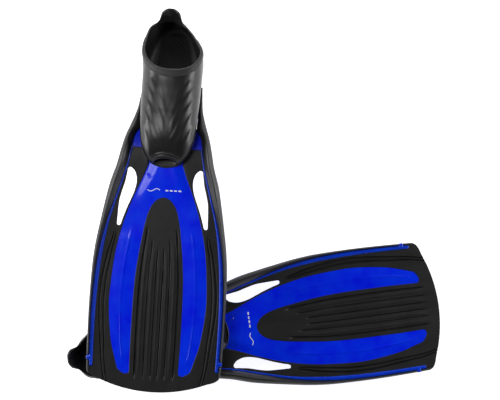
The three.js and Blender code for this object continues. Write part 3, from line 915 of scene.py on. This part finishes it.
def add_piece(fin, part, body, material, sharp=50):
    """A new object of one fin, in metres in the row frame. Its points remember their place in the fin."""
    points, faces = body
    matrix = np.array(fin_matrix(fin))
    mesh = bpy.data.meshes.new(f"{fin}_{part}")
    mesh.from_pydata((points @ matrix[:3, :3].T + matrix[:3, 3]).tolist(), [], faces)
    place = mesh.attributes.new("fin_place", "FLOAT_VECTOR", "POINT")
    place.data.foreach_set("vector", np.ascontiguousarray(points, np.float32).ravel())
    mesh.materials.append(material)
    mesh.shade_smooth()
    mesh.set_sharp_from_angle(angle=math.radians(sharp))
    piece = bpy.data.objects.new(mesh.name, mesh)
    bpy.context.scene.collection.objects.link(piece)
    return piece


def flexes(fin, piece, *nodes):
    """The piece runs unbroken from the foot into the blade; it stays fixed where it is built, and the
    imported parts it replaces are hidden.
    """
    matrix = fin_matrix(fin)
    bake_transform(piece)
    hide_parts(*(f"{fin}_{node}" for node in nodes))


def rides(fin, piece, body, *nodes):
    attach(piece, f"{fin}_{body}")
    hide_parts(*(f"{fin}_{node}" for node in nodes))


def add_blade(fin, materials):
    plate = add_piece(fin, "blue_plate", blue_plate(), materials["plate"])
    flexes(fin, plate, "blade_plate", "sole_plate")
    web = add_piece(fin, "web", blade_web(), materials["web"])
    flexes(fin, web, "blade_web", "wing_left", "wing_right")
    flexes(fin, add_piece(fin, "print_mark", print_mark(), materials["print"]))
    for hand, side in (("left", 1), ("right", -1)):
        strip = add_piece(fin, f"side_rail_{hand}", rail(side), materials["rail"])
        flexes(fin, strip, f"rail_{hand}", f"rail_root_{hand}")
        strip = add_piece(fin, f"blue_batten_{hand}", batten(side), materials["batten"])
        flexes(fin, strip, f"batten_{hand}")
        strip = add_piece(fin, f"pleat_{hand}", flex_channel(side), materials["channel"])
        flexes(fin, strip, f"flex_channel_{hand}")


def add_foot(fin, materials):
    pocket = add_piece(fin, "pocket", foot_pocket(), materials["pocket"], sharp=40)
    rides(fin, pocket, "foot", "foot_pocket")
    rides(fin, add_piece(fin, "collar", collar(), materials["collar"]), "foot", "collar_band")
    rides(fin, add_piece(fin, "footbed", footbed(), materials["footbed"]), "foot")
    rides(fin, add_piece(fin, "toe_lip", toe_lip(), materials["pocket"]), "foot")
    rides(fin, add_piece(fin, "sole", outsole(), materials["sole"]), "foot", "outsole")
    tab = add_piece(fin, "pull_tab", heel_tab(), materials["tab"])
    matrix = fin_matrix(fin)
    start, end = (matrix @ Vector(bend(TAB_BASE[0], 0, v)) for v in (TAB_BASE[1] - 1, TAB_BASE[1] + 9))
    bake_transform(tab)
    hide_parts(f"{fin}_heel_tab")


def neck_top(s, t):
    """The height of the blue neck's surface."""
    return lobe_relief(s, np.abs(t), 0, 0)[0]


def print_strip(centre, half_width):
    """A thin printed strip on the neck along a line of (s, t) points."""
    line = np.array(centre, float)
    ahead = np.gradient(line, axis=0)
    across = np.stack([-ahead[:, 1], ahead[:, 0]], axis=-1)
    across /= np.linalg.norm(across, axis=1, keepdims=True)
    width = np.array([-1, 1])[None, :, None] * half_width
    flat = (line[:, None] + across[:, None] * width).reshape(-1, 2)
    top = neck_top(flat[:, 0], flat[:, 1])
    faces = grid_faces(len(line), 2)[:, ::-1].tolist()
    return slab(flat, faces, top + PRINT_OVER, top - PRINT_UNDER)


def print_mark():
    """A plain printed mark across the neck: one small wave and a row of dashes, without lettering."""
    turn = np.linspace(0, 2 * np.pi, 40)
    wave = print_strip(np.stack([PRINT_LINE + 2.2 * np.sin(turn), 3.2 * turn - 27], axis=-1)[::-1], 0.6)
    dashes = []
    for t in (2, 9, 16, 23):
        line = np.stack([np.full(6, float(PRINT_LINE)), np.linspace(t + 4.6, t, 6)], axis=-1)
        dashes.append(print_strip(line, 1.1))
    return join(wave, *dashes)


# ------------------------------------------------------------------ studio
VIEW_CENTRE, VIEW_HEIGHT, LENS = (-0.0099, -0.0034), 2.2, 93


def add_camera():
    data = bpy.data.cameras.new("camera")
    data.lens = LENS
    camera = bpy.data.objects.new("camera", data)
    camera.location = (*VIEW_CENTRE, VIEW_HEIGHT)
    bpy.context.scene.collection.objects.link(camera)
    bpy.context.scene.camera = camera


def add_softbox(name, toward, distance, width, height, power):
    """An area light whose middle lies in a direction from the object, turned to face it."""
    data = bpy.data.lights.new(name, "AREA")
    data.shape = "RECTANGLE"
    data.size, data.size_y, data.energy = width, height, power
    lamp = bpy.data.objects.new(name, data)
    lamp.location = Vector(toward).normalized() * distance
    lamp.rotation_mode = "QUATERNION"
    lamp.rotation_quaternion = Vector(toward).to_track_quat("Z", "Y")
    bpy.context.scene.collection.objects.link(lamp)


def add_floor():
    size = 6.0
    mesh = bpy.data.meshes.new("floor")
    corners = [(-size, -size, 0), (size, -size, 0), (size, size, 0), (-size, size, 0)]
    mesh.from_pydata(corners, [], [(0, 1, 2, 3)])
    material, tree, principled = shader("pale_floor", 0.7)
    principled.inputs["Emission Color"].default_value = (1, 1, 1, 1)
    principled.inputs["Emission Strength"].default_value = 0.85
    fine = tree.nodes.new("ShaderNodeTexNoise")
    fine.inputs["Scale"].default_value = 3
    tree.links.new(two_colours(tree, fine.outputs["Fac"], (0.88, 0.88, 0.88), (0.92, 0.92, 0.92)),
                   principled.inputs["Base Color"])
    mesh.materials.append(material)
    floor = bpy.data.objects.new("floor", mesh)
    floor.location.z = -0.0005
    bpy.context.scene.collection.objects.link(floor)


def add_world():
    """Bright walls all round and a dark ceiling."""
    world = bpy.data.worlds.new("studio")
    world.use_nodes = True
    tree = world.node_tree
    direction = tree.nodes.new("ShaderNodeTexCoord")
    split = tree.nodes.new("ShaderNodeSeparateXYZ")
    tree.links.new(direction.outputs["Generated"], split.inputs["Vector"])
    strength = remap(tree, split.outputs["Z"], 0.0, 0.5, 1.3, 0.02)
    background = tree.nodes["Background"]
    background.inputs["Color"].default_value = (1, 1, 1, 1)
    tree.links.new(strength, background.inputs["Strength"])
    bpy.context.scene.world = world


def add_studio():
    add_floor()
    add_softbox("key_softbox", (-0.42, 0.36, 1.0), 2.6, 1.1, 1.1, 22)
    add_softbox("left_softbox", (-1.0, 0.1, 0.45), 2.6, 1.8, 0.7, 36)
    add_softbox("right_softbox", (1.0, 0.2, 0.45), 2.6, 1.8, 0.7, 32)
    add_world()
    bpy.context.scene.view_settings.view_transform = "Standard"


materials = make_materials()
add_camera()
add_studio()
for fin in ("top_fin", "under_fin"):
    add_blade(fin, materials)
    add_foot(fin, materials)
